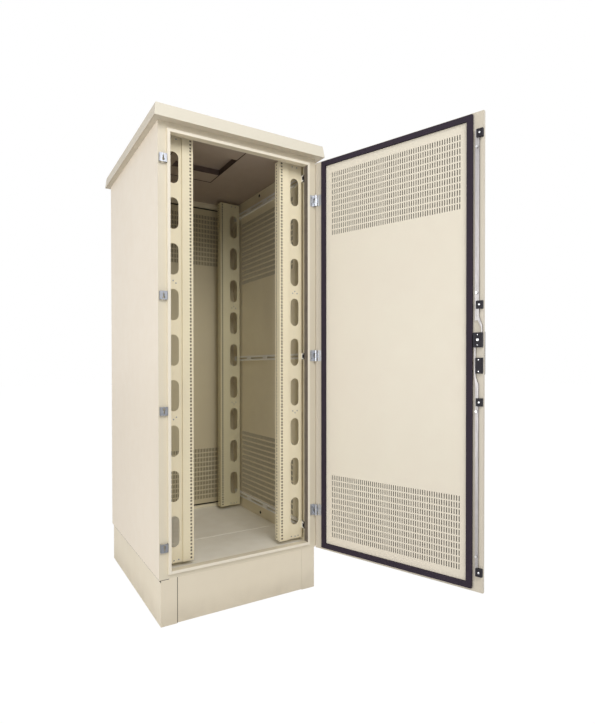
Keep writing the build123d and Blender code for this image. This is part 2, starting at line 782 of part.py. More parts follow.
lower_low_s = rod_centre_s - lower_rod_width / 2
lower_high_s = rod_centre_s + lower_rod_width / 2
lower_rod_bottom = door_bottom + lower_rod_end_gap
lower_bend_top = spindle_height - lower_bend_drop
lower_bend_bottom = lower_bend_top - lower_bend_length
with BuildPart() as lower_rod:
    with BuildSketch(door_plane.offset(rod_low_h)):
        with BuildLine():
            Polyline(
                (lower_rack_s - rack_half, spindle_height + rack_overlap),
                (lower_rack_s + rack_half, spindle_height + rack_overlap),
                (lower_rack_s + rack_half, lower_bend_top),
                (lower_high_s, lower_bend_bottom),
                (lower_high_s, lower_rod_bottom),
                (lower_low_s, lower_rod_bottom),
                (lower_low_s, lower_bend_bottom - rack_width),
                (lower_rack_s - rack_half, lower_bend_top - rack_width),
                close=True,
            )
        make_face()
    extrude(amount=rod_sheet)
keep(lower_rod, "lower_rod")

# Keeper pins, studs with six-sided heads on the rods
for level_name, keeper_z in keeper_heights.items():
    with BuildPart() as keeper_pin:
        with BuildSketch(door_plane.offset(rod_top_h)):
            with Locations((rod_centre_s, keeper_z)):
                Circle(keeper_stem_radius)
        extrude(amount=keeper_stem_length)
        with BuildSketch(door_plane.offset(rod_top_h + keeper_stem_length)):
            with Locations((rod_centre_s, keeper_z)):
                RegularPolygon(keeper_head_radius, keeper_head_sides)
        extrude(amount=keeper_head_length)
    keep(keeper_pin, f"keeper_pin_{level_name}")

# Plate under the handle on the outside of the door
with BuildPart() as escutcheon:
    with BuildSketch(door_plane.offset(door_outer_h - escutcheon_depth)):
        with Locations((spindle_s, spindle_height + (escutcheon_rise - escutcheon_drop) / 2)):
            RectangleRounded(escutcheon_width, escutcheon_rise + escutcheon_drop, escutcheon_corner)
        with Locations((spindle_s, spindle_height)):
            Circle(spindle_bore, mode=Mode.SUBTRACT)
    extrude(amount=escutcheon_depth)
keep(escutcheon, "handle_escutcheon")

# Handle with its spindle and the pinion that drives the rods, turned to open
handle_h = door_outer_h - escutcheon_depth - handle_gap - handle_depth
spindle_end_h = door_flange_h + case_depth
with BuildPart() as handle:
    with BuildSketch(door_plane.offset(handle_h)):
        with Locations((spindle_s, spindle_height)):
            Circle(handle_hub_radius)
        with Locations((spindle_s - handle_length, spindle_height)):
            Circle(handle_tip_radius)
        make_hull()
    extrude(amount=handle_depth)
    with BuildSketch(door_plane.offset(handle_h)):
        with Locations((spindle_s, spindle_height)):
            Circle(spindle_radius)
    extrude(amount=spindle_end_h - handle_h)
    with BuildSketch(door_plane.offset(rod_low_h)):
        with Locations((spindle_s, spindle_height)):
            Circle(pinion_radius)
    extrude(amount=rod_sheet)
keep(handle, "handle")
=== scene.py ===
import math

import bmesh
import bpy
import numpy as np
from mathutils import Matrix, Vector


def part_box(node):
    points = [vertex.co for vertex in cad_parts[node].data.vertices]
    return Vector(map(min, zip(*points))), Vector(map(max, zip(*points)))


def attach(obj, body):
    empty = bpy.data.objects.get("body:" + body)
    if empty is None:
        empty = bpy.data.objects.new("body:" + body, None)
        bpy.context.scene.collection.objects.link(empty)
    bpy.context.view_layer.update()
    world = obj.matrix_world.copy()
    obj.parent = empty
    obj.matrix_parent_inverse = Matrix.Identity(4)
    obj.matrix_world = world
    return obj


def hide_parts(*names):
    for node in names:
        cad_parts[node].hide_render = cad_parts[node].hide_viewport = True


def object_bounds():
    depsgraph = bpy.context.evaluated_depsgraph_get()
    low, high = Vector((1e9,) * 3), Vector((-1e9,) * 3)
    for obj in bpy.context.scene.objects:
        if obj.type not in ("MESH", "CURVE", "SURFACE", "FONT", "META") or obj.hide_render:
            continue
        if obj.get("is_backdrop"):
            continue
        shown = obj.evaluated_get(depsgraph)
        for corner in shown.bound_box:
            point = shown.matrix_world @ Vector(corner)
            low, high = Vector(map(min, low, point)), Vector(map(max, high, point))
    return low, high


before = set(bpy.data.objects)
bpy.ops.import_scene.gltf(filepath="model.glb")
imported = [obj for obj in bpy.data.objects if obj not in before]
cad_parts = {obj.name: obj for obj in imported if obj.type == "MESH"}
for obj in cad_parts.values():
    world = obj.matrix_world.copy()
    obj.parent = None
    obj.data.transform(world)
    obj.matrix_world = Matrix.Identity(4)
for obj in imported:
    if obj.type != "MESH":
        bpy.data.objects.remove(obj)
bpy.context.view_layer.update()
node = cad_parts


# Plinth
# Two folded steel sides and two lift-off panels carry the cabinet above wet ground.
# They wear the same cream powder coat as the body, with a little ground dust low down.

paint_cream = (0.790, 0.716, 0.580)
paint_shade = (0.665, 0.585, 0.450)


def make_powder_coat():
    """A baked powder skin on Object coordinates.

    Colour is the paint mixed towards its shade by two slow noises, with a paler speck
    where a fine noise peaks. Roughness wanders with the slow noise. Height is the fine
    orange-peel noise plus a long soft waviness of the sheet.
    """
    group = bpy.data.node_groups.new("powder_coat", "ShaderNodeTree")
    for name, kind in (("Paint", "Color"), ("Shade", "Color"), ("Drift", "Float"), ("Grain", "Float")):
        group.interface.new_socket(name, in_out="INPUT", socket_type="NodeSocket" + kind)
    for name, kind in (("Colour", "Color"), ("Roughness", "Float"), ("Height", "Float")):
        group.interface.new_socket(name, in_out="OUTPUT", socket_type="NodeSocket" + kind)
    nodes, links = group.nodes, group.links
    given = nodes.new("NodeGroupInput")
    result = nodes.new("NodeGroupOutput")
    place = nodes.new("ShaderNodeTexCoord")

    def noise(scale, detail):
        field = nodes.new("ShaderNodeTexNoise")
        field.inputs["Scale"].default_value = scale
        field.inputs["Detail"].default_value = detail
        links.new(place.outputs["Object"], field.inputs["Vector"])
        return field.outputs["Fac"]

    def remap(value, low, high, out_low, out_high):
        step = nodes.new("ShaderNodeMapRange")
        for key, number in (("From Min", low), ("From Max", high), ("To Min", out_low), ("To Max", out_high)):
            step.inputs[key].default_value = number
        links.new(value, step.inputs["Value"])
        return step.outputs["Result"]

    def multiply(first, second):
        product = nodes.new("ShaderNodeMath")
        product.operation = "MULTIPLY"
        for slot, value in zip(product.inputs, (first, second)):
            if isinstance(value, float):
                slot.default_value = value
            else:
                links.new(value, slot)
        return product.outputs["Value"]

    broad = noise(2.2, 3.0)
    cloud = noise(17.0, 4.0)
    peel = noise(900.0, 2.0)
    speck = noise(420.0, 1.0)
    drift = nodes.new("ShaderNodeMath")
    drift.operation = "ADD"
    links.new(remap(broad, 0.35, 0.65, 0.0, 0.7), drift.inputs[0])
    links.new(remap(cloud, 0.35, 0.65, 0.0, 0.3), drift.inputs[1])
    tone = nodes.new("ShaderNodeMix")
    tone.data_type = "RGBA"
    links.new(multiply(drift.outputs["Value"], given.outputs["Drift"]), tone.inputs["Factor"])
    links.new(given.outputs["Paint"], tone.inputs["A"])
    links.new(given.outputs["Shade"], tone.inputs["B"])
    light = nodes.new("ShaderNodeMix")
    light.data_type = "RGBA"
    light.inputs["B"].default_value = (0.86, 0.83, 0.76, 1.0)
    links.new(multiply(remap(speck, 0.62, 0.74, 0.0, 1.0), given.outputs["Grain"]), light.inputs["Factor"])
    links.new(tone.outputs["Result"], light.inputs["A"])
    links.new(light.outputs["Result"], result.inputs["Colour"])
    links.new(remap(cloud, 0.3, 0.7, 0.40, 0.52), result.inputs["Roughness"])
    wave = nodes.new("ShaderNodeMath")
    wave.operation = "ADD"
    links.new(multiply(peel, 0.35), wave.inputs[0])
    links.new(multiply(broad, 0.65), wave.inputs[1])
    links.new(wave.outputs["Value"], result.inputs["Height"])
    return group


powder_coat = make_powder_coat()


def make_ground_dust():
    """Dust on the lowest part of a standing sheet.

    The mask is one minus the height over the given reach, raised to a power, times a noise.
    Colour is the given colour mixed towards the dust by that mask.
    """
    group = bpy.data.node_groups.new("ground_dust", "ShaderNodeTree")
    for name, kind in (("Colour", "Color"), ("Dust", "Color"), ("Reach", "Float"), ("Amount", "Float")):
        group.interface.new_socket(name, in_out="INPUT", socket_type="NodeSocket" + kind)
    group.interface.new_socket("Colour", in_out="OUTPUT", socket_type="NodeSocketColor")
    nodes, links = group.nodes, group.links
    given = nodes.new("NodeGroupInput")
    result = nodes.new("NodeGroupOutput")
    place = nodes.new("ShaderNodeTexCoord")
    parts = nodes.new("ShaderNodeSeparateXYZ")
    links.new(place.outputs["Object"], parts.inputs["Vector"])
    patch = nodes.new("ShaderNodeTexNoise")
    patch.inputs["Scale"].default_value = 9.0
    patch.inputs["Detail"].default_value = 6.0
    links.new(place.outputs["Object"], patch.inputs["Vector"])
    fall = nodes.new("ShaderNodeMapRange")
    fall.interpolation_type = "SMOOTHSTEP"
    links.new(parts.outputs["Z"], fall.inputs["Value"])
    links.new(given.outputs["Reach"], fall.inputs["From Max"])
    fall.inputs["To Min"].default_value = 1.0
    fall.inputs["To Max"].default_value = 0.0
    mask = nodes.new("ShaderNodeMath")
    mask.operation = "MULTIPLY"
    links.new(fall.outputs["Result"], mask.inputs[0])
    links.new(patch.outputs["Fac"], mask.inputs[1])
    scaled = nodes.new("ShaderNodeMath")
    scaled.operation = "MULTIPLY"
    links.new(mask.outputs["Value"], scaled.inputs[0])
    links.new(given.outputs["Amount"], scaled.inputs[1])
    mixed = nodes.new("ShaderNodeMix")
    mixed.data_type = "RGBA"
    links.new(scaled.outputs["Value"], mixed.inputs["Factor"])
    links.new(given.outputs["Colour"], mixed.inputs["A"])
    links.new(given.outputs["Dust"], mixed.inputs["B"])
    links.new(mixed.outputs["Result"], result.inputs["Colour"])
    return group


ground_dust = make_ground_dust()


def painted_sheet(name, paint, shade, drift=0.22, grain=0.10, peel=0.10, dust=0.0, reach=0.3):
    """Powder-coated steel: the powder coat's colour, roughness and height on one shader."""
    material = bpy.data.materials.new(name)
    material.use_nodes = True
    tree = material.node_tree
    shader = tree.nodes["Principled BSDF"]
    shader.inputs["Specular IOR Level"].default_value = 0.42
    coat = tree.nodes.new("ShaderNodeGroup")
    coat.node_tree = powder_coat
    coat.inputs["Paint"].default_value = (*paint, 1.0)
    coat.inputs["Shade"].default_value = (*shade, 1.0)
    coat.inputs["Drift"].default_value = drift
    coat.inputs["Grain"].default_value = grain
    colour = coat.outputs["Colour"]
    if dust:
        settled = tree.nodes.new("ShaderNodeGroup")
        settled.node_tree = ground_dust
        settled.inputs["Dust"].default_value = (0.42, 0.36, 0.27, 1.0)
        settled.inputs["Reach"].default_value = reach
        settled.inputs["Amount"].default_value = dust
        tree.links.new(colour, settled.inputs["Colour"])
        colour = settled.outputs["Colour"]
    tree.links.new(colour, shader.inputs["Base Color"])
    tree.links.new(coat.outputs["Roughness"], shader.inputs["Roughness"])
    bump = tree.nodes.new("ShaderNodeBump")
    bump.inputs["Strength"].default_value = peel
    bump.inputs["Distance"].default_value = 0.0012
    tree.links.new(coat.outputs["Height"], bump.inputs["Height"])
    tree.links.new(bump.outputs["Normal"], shader.inputs["Normal"])
    return material


def finish_node(name, finish):
    """Gives a CAD node one finish in place of the one that it came with."""
    materials = node[name].data.materials
    materials.clear()
    materials.append(finish)


def finish_faces(name, finish, chosen):
    """Gives a further finish to those faces of a CAD node that the test chooses."""
    mesh = node[name].data
    mesh.materials.append(finish)
    for face in mesh.polygons:
        if chosen(face):
            face.material_index = len(mesh.materials) - 1


plinth_paint = painted_sheet("plinth_paint", (0.810, 0.728, 0.580), paint_shade, dust=0.5, reach=0.12)
for name in ("plinth_left_side", "plinth_right_side", "plinth_front_panel", "plinth_rear_panel"):
    finish_node(name, plinth_paint)


# Body shell, front frame and roof
# One sheet is bent round the two sides and the back, a welded frame with a rain lip closes
# the front, and a pressed cap with turned-down edges sits on top. The walls are painted in a
# dark foam finish as painted shade.

# how squarely a chosen face looks one way, and where the lip, the jamb and the walls lie
facing = 0.5
lip_front_y = -0.008
jamb_wall_low, jamb_wall_high = 0.345, 0.352
back_wall_y = 0.5
side_wall_share = 0.1
body_paint = painted_sheet("body_paint", (0.755, 0.684, 0.540), paint_shade)
shell_paint = painted_sheet("shell_paint", (0.838, 0.750, 0.626), (0.755, 0.662, 0.540))
# the roof cap wears a darker copy of the cream paint as painted shade, its front a paler copy as a painted
# highlight
roof_shade_paint = painted_sheet("roof_shade_paint", (0.620, 0.556, 0.448), (0.540, 0.478, 0.374))
eave_highlight_paint = painted_sheet("eave_highlight_paint", (0.815, 0.760, 0.632), (0.735, 0.675, 0.545))
for name, finish in (("outer_shell", shell_paint), ("front_frame", body_paint), ("roof_cap", roof_shade_paint)):
    finish_node(name, finish)


def foam_rubber(name, colour):
    """Closed-cell foam: the colour clouded darker and paler, and small round pores from a cell texture."""
    material = bpy.data.materials.new(name)
    material.use_nodes = True
    tree = material.node_tree
    shader = tree.nodes["Principled BSDF"]
    shader.inputs["Specular IOR Level"].default_value = 0.3
    place = tree.nodes.new("ShaderNodeTexCoord")
    cloud = tree.nodes.new("ShaderNodeTexNoise")
    cloud.inputs["Scale"].default_value = 35.0
    cloud.inputs["Detail"].default_value = 5.0
    tree.links.new(place.outputs["Object"], cloud.inputs["Vector"])
    tone = tree.nodes.new("ShaderNodeMix")
    tone.data_type = "RGBA"
    tone.inputs["A"].default_value = (*[0.6 * c for c in colour], 1.0)
    tone.inputs["B"].default_value = (*[1.5 * c for c in colour], 1.0)
    tree.links.new(cloud.outputs["Fac"], tone.inputs["Factor"])
    tree.links.new(tone.outputs["Result"], shader.inputs["Base Color"])
    rough = tree.nodes.new("ShaderNodeMapRange")
    rough.inputs["To Min"].default_value = 0.62
    rough.inputs["To Max"].default_value = 0.88
    tree.links.new(cloud.outputs["Fac"], rough.inputs["Value"])
    tree.links.new(rough.outputs["Result"], shader.inputs["Roughness"])
    pores = tree.nodes.new("ShaderNodeTexVoronoi")
    pores.inputs["Scale"].default_value = 700.0
    tree.links.new(place.outputs["Object"], pores.inputs["Vector"])
    bump = tree.nodes.new("ShaderNodeBump")
    bump.inputs["Strength"].default_value = 0.35
    bump.inputs["Distance"].default_value = 0.0006
    tree.links.new(pores.outputs["Distance"], bump.inputs["Height"])
    tree.links.new(bump.outputs["Normal"], shader.inputs["Normal"])
    return material


# the front of the roof is painted paler than the rest of the cap as a painted highlight, and the rest of the
# cap is a darker copy of the cream paint as painted shade
finish_faces("roof_cap", eave_highlight_paint, lambda face: face.normal.y < -facing)

# the front face of the rain lip is painted paler as a painted highlight, and the inner wall of the opening on
# the hinged side is painted in a dark foam finish as painted shade
lip_highlight_paint = painted_sheet("lip_highlight_paint", (0.870, 0.800, 0.670), paint_cream)
jamb_shade_foam = foam_rubber("jamb_shade_foam", (0.145, 0.120, 0.098))
finish_faces("front_frame", lip_highlight_paint, lambda face: face.normal.y < -facing and face.center.y < lip_front_y)
finish_faces(
    "front_frame", jamb_shade_foam,
    lambda face: face.normal.x < -facing and jamb_wall_low < face.center.x < jamb_wall_high)

# the inside of the shell is painted in a dark foam finish as painted shade, so the air gap seen through the
# liners' slots looks dark
shade_foam = foam_rubber("shade_foam", (0.030, 0.026, 0.022))
finish_faces(
    "outer_shell", shade_foam,
    lambda face: face.normal.x * face.center.x < -side_wall_share
    or (face.normal.y < -facing and face.center.y > back_wall_y))


# Floor pan, ceiling and hatch
# The floor is a folded tray over the plinth. The ceiling has a framed hatch with a shallow
# fan box, screwed up from below.

# the ceiling and its hatch wear a dark brown copy of the cream paint: painted shade
ceiling_shade_paint = painted_sheet("ceiling_shade_paint", (0.405, 0.325, 0.268), (0.355, 0.282, 0.230), drift=0.30)
# the floor pan and its seam wear a paler copy of the cream paint: painted light
floor_lit_paint = painted_sheet("floor_lit_paint", (0.965, 0.930, 0.835), paint_shade, drift=0.34, grain=0.16)
for name, finish in (
    ("ceiling_panel", ceiling_shade_paint), ("ceiling_hatch", ceiling_shade_paint), ("floor_pan", floor_lit_paint),
):
    finish_node(name, finish)

# the walls of the fan box are painted in a dark foam finish as painted shade, so they look dark from below
hatch_rim = 0.004
hatch_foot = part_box("ceiling_hatch")[0].z
duct_shade_foam = foam_rubber("duct_shade_foam", (0.125, 0.088, 0.072))
finish_faces(
    "ceiling_hatch", duct_shade_foam,
    lambda face: abs(face.normal.z) < facing and face.center.z > hatch_foot + hatch_rim)


# Side and rear liners
# Thin sheets stand inside the shell with an air gap behind them. Two fields of upright
# slots are punched in each, high and low, so that warm air can leave the rack.

slant = 0.7071
slot_ring = np.array([
    (1.0, -1.0, 0.0), (1.0, 1.0, 0.0), (slant, 1.0, slant), (0.0, 1.0, 1.0), (-slant, 1.0, slant),
    (-1.0, 1.0, 0.0), (-1.0, -1.0, 0.0), (-slant, -1.0, -slant), (0.0, -1.0, -1.0), (slant, -1.0, -slant),
])
slot_faces = (
    ("c0", "c1", "r1", "r0"), ("c1", "r2", "r1"), ("c1", "r3", "r2"), ("c1", "c2", "r3"),
    ("c2", "r4", "r3"), ("c2", "r5", "r4"), ("c2", "c3", "r6", "r5"), ("c3", "r7", "r6"),
    ("c3", "r8", "r7"), ("c3", "c0", "r8"), ("c0", "r9", "r8"), ("c0", "r0", "r9"),
)
square_ring = np.array([(1.0, -1.0, 0.0), (1.0, 1.0, 0.0), (-1.0, 1.0, 0.0), (-1.0, -1.0, 0.0)])
square_faces = (
    ("c0", "c1", "r1", "r0"), ("c1", "c2", "r2", "r1"), ("c2", "c3", "r3", "r2"), ("c3", "c0", "r0", "r3"),
)


def punched_sheet(across, up, punched, ring, ring_faces, half_wide, half_high, windows=()):
    """A flat sheet on a lattice of lines across and up, with a hole in each punched cell.

    A ring point is the cell's centre, plus half the width times its first number across, plus
    the straight half-length times its second number up, plus the end radius times its third.
    A plain cell is one face, a punched cell is the ring of faces between its corners and the hole,
    and a window is a tall rounded slot that takes several cells of one column. Front and back are
    the same points at depth 0 and 1, joined by walls round each hole and round the outline.
    Returns points as (across, up, depth) and the list of faces.
    """
    columns, rows = len(across), len(up)

    def corner(i, j, side):
        return (i * rows + j) * 2 + side

    grid_a, grid_u, grid_d = np.meshgrid(across, up, (0.0, 1.0), indexing="ij")
    points = [np.stack([grid_a, grid_u, grid_d], -1).reshape(-1, 3)]
    plain = ~punched
    for column, low, high, _ in windows:
        plain[column, low:high] = False
    faces = []
    i, j = np.nonzero(plain)
    cell = ((i, j), (i + 1, j), (i + 1, j + 1), (i, j + 1))
    back_cell = (cell[0], cell[3], cell[2], cell[1])
    faces += np.stack([corner(column, row, 0) for column, row in cell], 1).tolist()
    faces += np.stack([corner(column, row, 1) for column, row in back_cell], 1).tolist()

    i, j = np.nonzero(punched)
    start, count = columns * rows * 2, len(ring)
    mid_a = (across[i] + across[i + 1]) / 2
    mid_u = (up[j] + up[j + 1]) / 2
    end_radius = half_wide if count > 4 else 0.0
    ring_a = mid_a[:, None] + half_wide * ring[None, :, 0]
    ring_u = mid_u[:, None] + (half_high - end_radius) * ring[None, :, 1] + end_radius * ring[None, :, 2]
    both = np.stack([np.stack([ring_a, ring_u, np.full_like(ring_a, d)], -1) for d in (0.0, 1.0)], 2)
    points.append(both.reshape(-1, 3))
    hole = np.arange(len(i))
    corners = ((i + 1, j), (i + 1, j + 1), (i, j + 1), (i, j))

    def mark(code, side):
        k = int(code[1:])
        return corner(*corners[k], side) if code[0] == "c" else start + (hole * count + k) * 2 + side

    for face in ring_faces:
        faces += np.stack([mark(code, 0) for code in face], 1).tolist()
        faces += np.stack([mark(code, 1) for code in face[::-1]], 1).tolist()
    for k in range(count):
        first, second = "r%d" % k, "r%d" % ((k + 1) % count)
        faces += np.stack([mark(first, 0), mark(second, 0), mark(second, 1), mark(first, 1)], 1).tolist()

    turn = np.linspace(0.0, math.pi, 9)
    for column, low, high, (wide, long, mid_z) in windows:
        start = sum(len(p) for p in points)
        mid = (across[column] + across[column + 1]) / 2
        cap = np.stack([np.cos(turn), np.sin(turn)], -1) * wide
        edge = np.concatenate([cap + (0.0, long - wide), -cap - (0.0, long - wide)]) + (mid, mid_z)
        rim = np.stack([np.column_stack([edge, np.full(len(edge), d)]) for d in (0.0, 1.0)], 1)
        points.append(rim.reshape(-1, 3))
        n, half = len(edge), len(turn)
        for side in (0, 1):
            ring_at = [start + k * 2 + side for k in range(n)]
            right = [corner(column + 1, k, side) for k in range(low, high + 1)]
            left = [corner(column, k, side) for k in range(high, low - 1, -1)]
            loops = (
                right + [ring_at[0], ring_at[n - 1]],
                [right[-1], left[0]] + ring_at[:half][::-1],
                left + [ring_at[half], ring_at[half - 1]],
                [left[-1], right[0]] + ring_at[half:][::-1],
            )
            faces += [loop if side == 0 else loop[::-1] for loop in loops]
        faces += [
            [start + k * 2, start + (k + 1) % n * 2, start + (k + 1) % n * 2 + 1, start + k * 2 + 1]
            for k in range(n)
        ]

    i, j = np.arange(columns - 1), np.arange(rows - 1)
    for row, flip in ((0, False), (rows - 1, True)):
        edge = ((i, 0), (i, 1), (i + 1, 1), (i + 1, 0))
        rim = np.stack([corner(at, row, side) for at, side in edge], 1)
        faces += (rim[:, ::-1] if flip else rim).tolist()
    for column, flip in ((0, True), (columns - 1, False)):
        edge = ((j, 0), (j, 1), (j + 1, 1), (j + 1, 0))
        rim = np.stack([corner(column, at, side) for at, side in edge], 1)
        faces += (rim[:, ::-1] if flip else rim).tolist()
    return np.concatenate(points), faces


def sheet_object(name, points, faces, material, body, slot, *stands_for):
    """A closed mesh from points and faces, normals turned outwards, riding on a body for its nodes."""
    mesh = bpy.data.meshes.new(name)
    mesh.from_pydata(points.tolist(), [], faces)
    shell = bmesh.new()
    shell.from_mesh(mesh)
    bmesh.ops.recalc_face_normals(shell, faces=shell.faces)
    shell.to_mesh(mesh)
    shell.free()
    mesh.materials.append(material)
    piece = bpy.data.objects.new(name, mesh)
    bpy.context.scene.collection.objects.link(piece)
    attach(piece, body)
    if stands_for:
        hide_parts(*stands_for)


def vent_lines(low, high, fields, count):
    """Lattice lines from one edge to the other: the edges, and each field's span cut into equal cells."""
    return np.unique(np.concatenate([[low, high]] + [np.linspace(a, b, count + 1) for a, b in fields]))


def inside_fields(lines, fields):
    """For each cell between two lines, whether its middle lies in one of the fields."""
    middle = (lines[1:] + lines[:-1]) / 2
    return np.any([(middle > a) & (middle < b) for a, b in fields], axis=0)


vent_half_wide = 0.0019
vent_half_high = 0.0117


def vented_sheet(edges, span, columns, fields, rows, half_wide=vent_half_wide):
    """A sheet between its two sides, foot and head, with slots in each field of the span."""
    across = vent_lines(*edges[:2], span, columns)
    up = vent_lines(*edges[2:], fields, rows)
    punched = np.outer(inside_fields(across, span), inside_fields(up, fields))
    return punched_sheet(across, up, punched, slot_ring, slot_faces, half_wide, vent_half_high)


side_vent_half_wide = 0.0031
side_span = [(0.160, 0.760)]
side_fields = [(0.319, 0.706), (1.618, 2.003)]
side_columns, side_rows = 58, 13
rear_span = [(-0.315, 0.315)]
rear_fields = [(0.269, 0.592), (1.741, 2.062)]
rear_columns, rear_rows = 61, 11
liner_paint = painted_sheet("liner_paint", (0.850, 0.770, 0.570), paint_shade, drift=0.30)
# the rear liner wears a darker copy of the liner paint: painted shade
rear_liner_shade_paint = painted_sheet("rear_liner_shade_paint", (0.635, 0.558, 0.378), (0.560, 0.485, 0.330), drift=0.30)

for side_name, turn_out in (("left", -1.0), ("right", 1.0)):
    name = side_name + "_liner"
    low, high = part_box(name)
    sheet_points, sheet_faces = vented_sheet(
        (low.y, high.y, low.z, high.z), side_span, side_columns, side_fields, side_rows, side_vent_half_wide)
    inner_x, outer_x = (low.x, high.x) if turn_out > 0 else (high.x, low.x)
    placed = np.column_stack([
        inner_x + (outer_x - inner_x) * sheet_points[:, 2], sheet_points[:, 0], sheet_points[:, 1],
    ])
    sheet_object(name + "_vented", placed, sheet_faces, liner_paint, "cabinet", "body_paint", name)

low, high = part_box("rear_liner")
sheet_points, sheet_faces = vented_sheet(
    (low.x, high.x, low.z, high.z), rear_span, rear_columns, rear_fields, rear_rows)
placed = np.column_stack([
    sheet_points[:, 0], low.y + (high.y - low.y) * sheet_points[:, 2], sheet_points[:, 1],
])
sheet_object(
    "rear_liner_vented", placed, sheet_faces, rear_liner_shade_paint, "cabinet", "body_paint", "rear_liner")
for name in ("rear_header_rail", "rear_footer_rail"):
    finish_node(name, liner_paint)


# Seams of the plinth, the floor and the hatch
# Dark rubber strips under the edge of the body and beside the front panel of the plinth are
# painted shade for the shadow lines there. The floor tray is two plates with a folded seam across
# it, and a thin black seal round the hatch is painted shade for the seam's shadow line.

box_faces = [(0, 1, 3, 2), (4, 6, 7, 5), (0, 4, 5, 1), (2, 3, 7, 6), (0, 2, 6, 4), (1, 5, 7, 3)]


def box_mesh(boxes):
    """Points and faces of closed boxes, each given by its spans along x, y and z."""
    points, faces = [], []
    for span_x, span_y, span_z in boxes:
        first = len(points)
        points += [(x, y, z) for x in span_x for y in span_y for z in span_z]
        faces += [[first + k for k in loop] for loop in box_faces]
    return np.array(points), faces


# the dark strips at the plinth's edges are painted shade for the shadow lines there
shade_seal_rubber = foam_rubber("shade_seal_rubber", (0.060, 0.050, 0.040))
seal_proud = 0.0003
seal_sunk = 0.001
side_seal_high = 0.0107
corner_seal_long, corner_seal_high = 0.036, 0.0020
panel_seal_out, panel_seal_in = 0.0020, 0.0006
side_low, side_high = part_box("plinth_left_side")
front_low, front_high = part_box("plinth_front_panel")
side_seal = (
    (side_low.x - seal_proud, side_low.x + seal_sunk),
    (side_low.y, side_high.y),
    (side_high.z - side_seal_high, side_high.z),
)
corner_seal = (
    (side_low.x, side_low.x + corner_seal_long),
    (side_low.y - seal_proud, side_low.y + seal_sunk),
    (side_high.z - corner_seal_high, side_high.z),
)
panel_seal = (
    (front_low.x - panel_seal_out, front_low.x + panel_seal_in),
    (front_low.y - seal_proud, front_low.y + seal_sunk),
    (front_low.z, front_high.z),
)
sheet_object(
    "plinth_shade_seals", *box_mesh([side_seal, corner_seal, panel_seal]), shade_seal_rubber, "cabinet", "gasket_rubber")

# the floor's seam is half a round bar lying across it
seam_ends = (-0.367, 0.367)
seam_y = 0.345
seam_half_wide, seam_rise = 0.0030, 0.0016
seam_count = 7
seam_turn = np.linspace(0.0, math.pi, seam_count)
floor_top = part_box("floor_pan")[1].z
seam_points = np.array([
    (x, seam_y - seam_half_wide * math.cos(turn), floor_top + seam_rise * math.sin(turn))
    for x in seam_ends for turn in seam_turn
])
seam_faces = [(k, k + 1, k + 1 + seam_count, k + seam_count) for k in range(seam_count - 1)]
seam_faces.append((0, seam_count, 2 * seam_count - 1, seam_count - 1))
seam_faces.append(tuple(range(seam_count)))
seam_faces.append(tuple(range(2 * seam_count - 1, seam_count - 1, -1)))
sheet_object("floor_seam", seam_points, seam_faces, floor_lit_paint, "cabinet", "body_paint")

# the hatch's seal is a flat black band inside its six edges, under its lower face, painted shade for the
# seam's shadow line
seal_wide, seal_drop = 0.0035, 0.0015
hatch_edge = np.array([
    (-0.188, 0.067), (0.065, 0.067), (0.065, 0.535), (-0.188, 0.535), (-0.250, 0.473), (-0.250, 0.129),
])
edges = len(hatch_edge)
run = np.roll(hatch_edge, -1, axis=0) - hatch_edge
after = np.column_stack([-run[:, 1], run[:, 0]]) / np.hypot(run[:, 0], run[:, 1])[:, None]
before = np.roll(after, 1, axis=0)
mitre = (before + after) / (1.0 + np.sum(before * after, axis=1))[:, None]
loops = [hatch_edge, hatch_edge + seal_wide * mitre]
seal_points = np.concatenate([
    np.column_stack([loop, np.full(edges, hatch_foot - drop)]) for drop in (seal_drop, 0.0) for loop in loops
])
seal_faces = []
for k in range(edges):
    n = (k + 1) % edges
    low_in, low_out, high_in, high_out = ((k + edges * ring, n + edges * ring) for ring in range(4))
    seal_faces += [
        (*low_in, *low_out[::-1]), (high_in[0], *high_out, high_in[1]),
        (low_in[0], *high_in, low_in[1]), (*low_out, *high_out[::-1]),
    ]
hatch_shade_seal = foam_rubber("hatch_shade_seal", (0.020, 0.016, 0.015))
sheet_object("hatch_shade_seal", seal_points, seal_faces, hatch_shade_seal, "cabinet", "gasket_rubber")


# Rack posts and their rails
# Each post is one sheet, folded to a hole strip, a shallow step and a face with nine cable
# windows. The small holes follow the rack pitch of three to a height unit.

# the front posts wear a paler copy of the cream paint as painted light, and the rear posts a darker copy as
# painted shade
post_lit_and_shaded_paint = {
    "front": painted_sheet("front_post_lit_paint", (0.900, 0.805, 0.580), paint_shade),
    "rear": painted_sheet("rear_post_shaded_paint", (0.715, 0.655, 0.440), (0.625, 0.560, 0.380)),
}
post_sheet = 0.002
post_inner_x, post_step_x, post_outer_x = 0.225, 0.276, 0.356
return_deep, step_deep, edge_deep = 0.045, 0.006, 0.036
hole_half, hole_half_high = 0.0048, 0.0043
cell_half, cell_half_high = 0.0065, 0.0062
strip_hole_at, return_hole_at = 0.0115, 0.033
return_column, strip_column, window_column = 1, 4, 7
rack_unit = 0.04445
unit_rows = np.array([0.00635, 0.022225, 0.0381])
row_reach = 0.001
window_first, window_pitch, window_count = 0.378, 0.200, 9
window_half, window_half_high, window_cell_half = 0.0255, 0.0690, 0.096
bar_sizes = (((0.2285, 0.2445), (0.0021, 0.0033)), ((0.2271, 0.2283), (0.0250, 0.0410)))
bar_end_gap = 0.002
rivet_x = 0.316
rivet_radius, rivet_height = 0.0030, 0.0018
